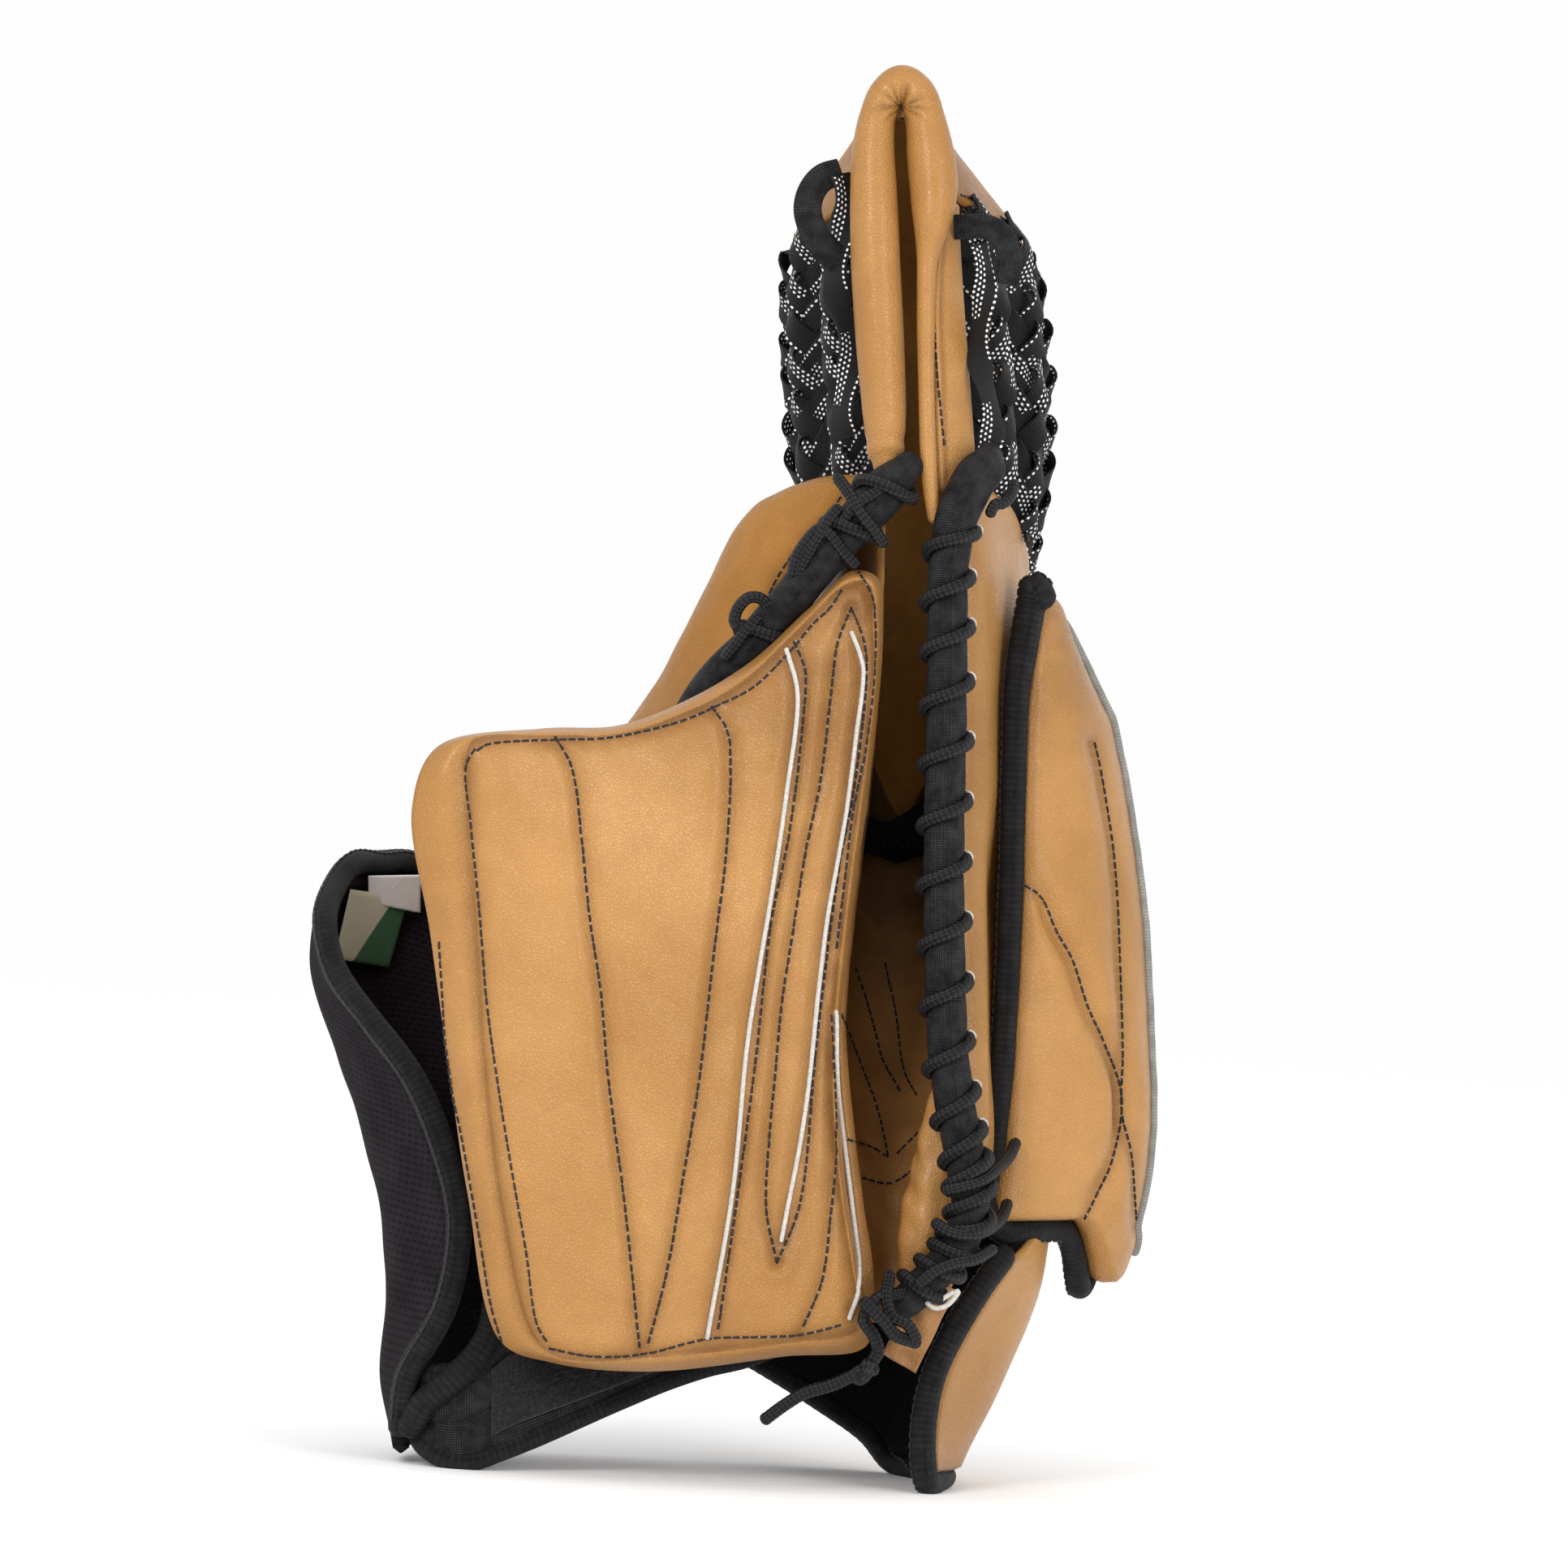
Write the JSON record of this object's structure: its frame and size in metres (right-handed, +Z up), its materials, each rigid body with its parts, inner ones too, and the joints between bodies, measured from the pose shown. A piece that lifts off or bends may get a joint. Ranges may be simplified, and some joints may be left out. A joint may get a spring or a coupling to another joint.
{
  "type": "goalie catching glove",
  "caption": "Tan leather goalie catching glove, folded closed and standing on its cuff, with a laced pocket, padded cuff board and black wrist wrap.",
  "frame": {"origin": "Middle of the footprint of the bounding box, on the floor that the glove stands on.", "axes": "+Z is up, from the cuff to the top of the pocket. -Y is the side that the pocket opens to, with the cuff board in front. +X points from the thumb half to the finger half."},
  "size_m": [0.2864, 0.235, 0.4745],
  "materials": {
    "tan_leather": "burnished full-grain tan leather, satin",
    "black_binding": "ribbed woven nylon tape, matte",
    "black_mesh": "knitted padding cloth, matte",
    "black_lace": "braided and woven synthetic lace, matte",
    "label_cloth": "woven cloth label, cream with a green corner",
    "tag_cloth": "thin satin tag, white"
  },
  "bodies": {
    "root": {"palm_shell": "tan_leather", "cuff_board": "tan_leather", "thumb_pad": "tan_leather", "t_bar": "tan_leather", "t_bar_flap": "tan_leather", "t_stem": "tan_leather", "back_pad": "tan_leather", "gauntlet": "tan_leather", "heel_flap": "tan_leather", "thumb_roll": "black_binding", "perimeter_roll": "black_binding", "break_band": "black_binding", "back_pad_binding": "black_binding", "gauntlet_binding": "black_binding", "wrist_wrap_binding": "black_binding", "wrist_strap_binding": "black_binding", "gauntlet_lining": "black_mesh", "wrist_wrap": "black_mesh", "wrist_strap": "black_mesh", "hand_back": "black_mesh", "pocket_net_right": "black_lace", "pocket_net_left": "black_lace", "lace_turn_01": "black_lace", "lace_turn_02": "black_lace", "lace_turn_03": "black_lace", "lace_turn_04": "black_lace", "lace_turn_05": "black_lace", "lace_turn_06": "black_lace", "lace_turn_07": "black_lace", "lace_turn_08": "black_lace", "lace_turn_09": "black_lace", "lace_turn_10": "black_lace", "lace_turn_11": "black_lace", "lace_turn_12": "black_lace", "lace_turn_13": "black_lace", "lace_turn_14": "black_lace", "lace_turn_15": "black_lace", "thumb_lace_tip": "black_lace", "thumb_lace_middle": "black_lace", "thumb_lace_low": "black_lace", "heel_lace": "black_lace", "heel_lace_loop": "black_lace", "heel_lace_tail": "black_lace", "size_label": "label_cloth", "care_tag": "tag_cloth"}
  },
  "joints": []
}
